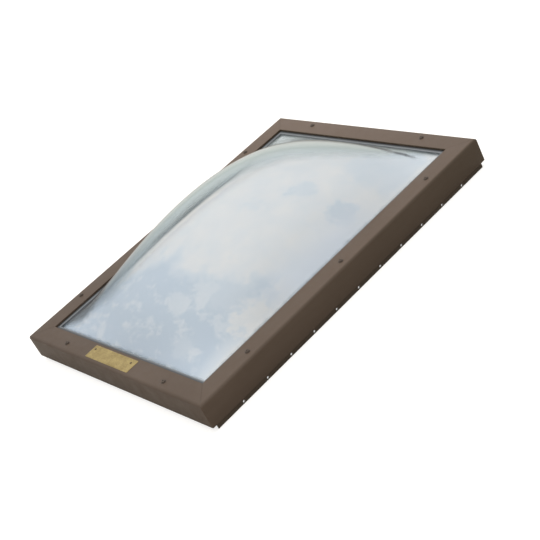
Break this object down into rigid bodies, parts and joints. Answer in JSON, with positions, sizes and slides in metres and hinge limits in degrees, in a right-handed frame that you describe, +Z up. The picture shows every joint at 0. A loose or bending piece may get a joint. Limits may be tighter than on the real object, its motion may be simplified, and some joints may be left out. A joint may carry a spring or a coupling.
{
  "type": "roof skylight",
  "caption": "Curb-mounted roof skylight: a clear double blown dome held by a bronze cap frame, screwed to a hollow curb frame with legs and a condensation gutter.",
  "frame": {"origin": "middle of the base, at the bottom of the two long legs", "axes": "+X across the width, +Y along the length towards the back, +Z up through the dome"},
  "size_m": [0.672, 0.875, 0.2095],
  "materials": {
    "frame_bronze": "satin bronze paint on aluminium",
    "rail_bronze": "satin dark bronze paint on extruded aluminium",
    "clear_acrylic": "polished clear acrylic sheet, blown",
    "pale_acrylic": "polished pale acrylic sheet, blown",
    "gasket_grey": "matte grey moulded rubber",
    "foam_black": "closed-cell black foam tape",
    "seal_foam": "soft closed-cell foam",
    "key_aluminium": "mill finish",
    "screw_bronze": "dark bronze coated steel",
    "washer_rubber": "bonded sealing washer",
    "plate_gold": "brushed gold foil plate",
    "rivet_steel": "dark drive rivets"
  },
  "bodies": {
    "root": {"retainer_right": "frame_bronze", "retainer_back": "frame_bronze", "retainer_left": "frame_bronze", "retainer_front": "frame_bronze", "retainer_screws": "screw_bronze", "screw_washers": "washer_rubber", "outer_dome": "clear_acrylic", "inner_dome": "pale_acrylic", "dome_spacer": "foam_black", "glazing_gasket": "gasket_grey", "bed_tape": "foam_black", "label_plate": "plate_gold", "label_rivets": "rivet_steel", "rail_right": "rail_bronze", "rail_back": "rail_bronze", "rail_left": "rail_bronze", "rail_front": "rail_bronze", "corner_key_front_left": "key_aluminium", "corner_key_front_right": "key_aluminium", "corner_key_back_left": "key_aluminium", "corner_key_back_right": "key_aluminium", "curb_seal_right": "seal_foam", "curb_seal_back": "seal_foam", "curb_seal_left": "seal_foam", "curb_seal_front": "seal_foam"}
  },
  "joints": []
}
